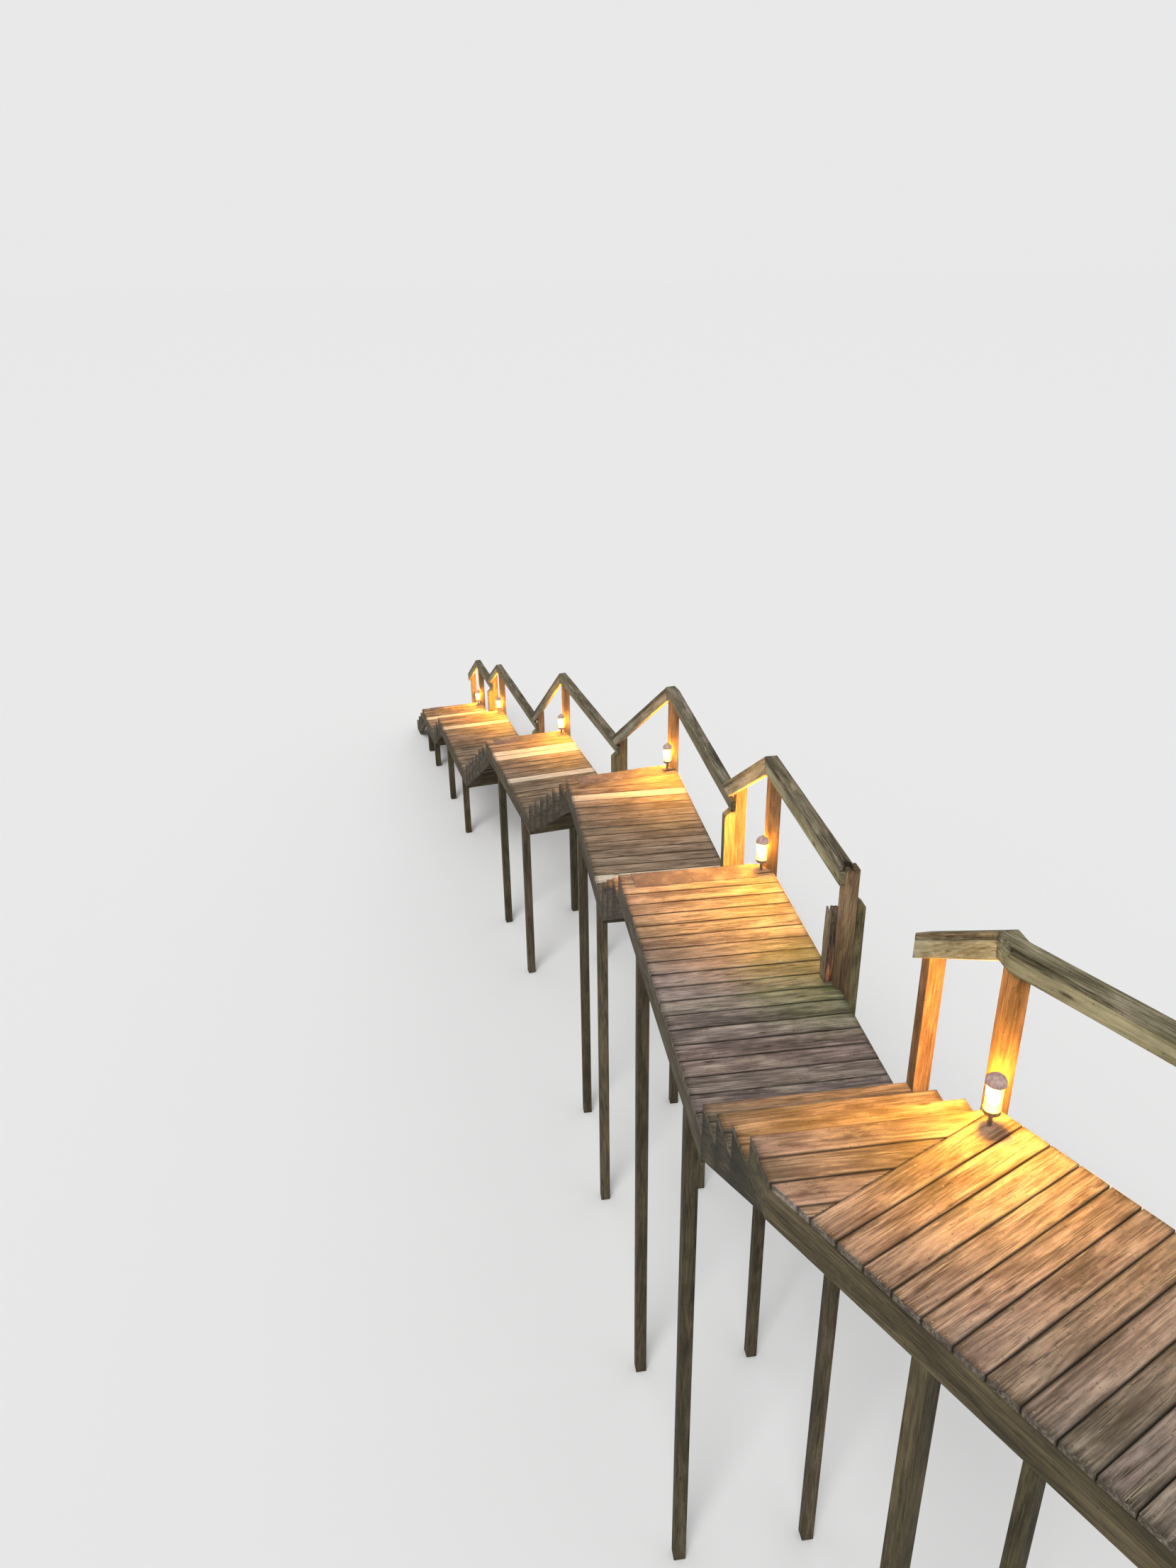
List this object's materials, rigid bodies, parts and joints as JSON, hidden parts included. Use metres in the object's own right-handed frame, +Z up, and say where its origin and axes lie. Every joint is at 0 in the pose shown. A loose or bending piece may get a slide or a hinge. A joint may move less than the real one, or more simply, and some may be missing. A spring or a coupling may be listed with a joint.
{
  "type": "outdoor wooden stairway",
  "caption": "Long outdoor timber stairway: level board landings joined by open-riser flights on legs, stepping down a slope, with a handrail and small lamps along one side.",
  "frame": {"origin": "on the ground under the middle of the whole stair's bounding box, at the level of the lowest leg feet", "axes": "+Z up; +Y along the upper main stretch in the direction that leads down the stairs; +X to the handrail side"},
  "size_m": [3.9756, 20.729, 6.221],
  "materials": {
    "deck_board": "weathered, unpainted",
    "tread_board": "weathered, unpainted",
    "frame_timber": "weathered, greened",
    "leg_timber": "weathered",
    "rail_timber": "weathered, greened",
    "rail_cap": "weathered, cracked",
    "post_timber": "weathered",
    "old_post_timber": "rotted and mossy",
    "mat": "worn",
    "lamp_metal": "dull",
    "lamp_glass": "clear",
    "lamp_shade": "matt"
  },
  "bodies": {
    "root": {"decking_z": "deck_board", "joists_z": "frame_timber", "legs_z": "leg_timber", "decking_a": "deck_board", "joists_a": "frame_timber", "legs_a": "leg_timber", "decking_b": "deck_board", "joists_b": "frame_timber", "legs_b": "leg_timber", "decking_c": "deck_board", "joists_c": "frame_timber", "legs_c": "leg_timber", "decking_d": "deck_board", "joists_d": "frame_timber", "legs_d": "leg_timber", "decking_e": "deck_board", "joists_e": "frame_timber", "legs_e": "leg_timber", "stringers_0": "frame_timber", "treads_0": "tread_board", "stringers_1": "frame_timber", "treads_1": "tread_board", "stringers_2": "frame_timber", "treads_2": "tread_board", "stringers_3": "frame_timber", "treads_3": "tread_board", "stringers_4": "frame_timber", "treads_4": "tread_board", "stringers_5": "frame_timber", "treads_5": "tread_board", "headers": "frame_timber", "level_rail_boards": "rail_timber", "level_rail_caps": "rail_cap", "sloped_rail_boards": "rail_timber", "sloped_rail_caps": "rail_cap", "rail_posts": "post_timber", "stub_posts": "old_post_timber", "mats": "mat", "lamp_stems": "lamp_metal", "lamp_glasses": "lamp_glass", "lamp_shades": "lamp_shade"}
  },
  "joints": []
}
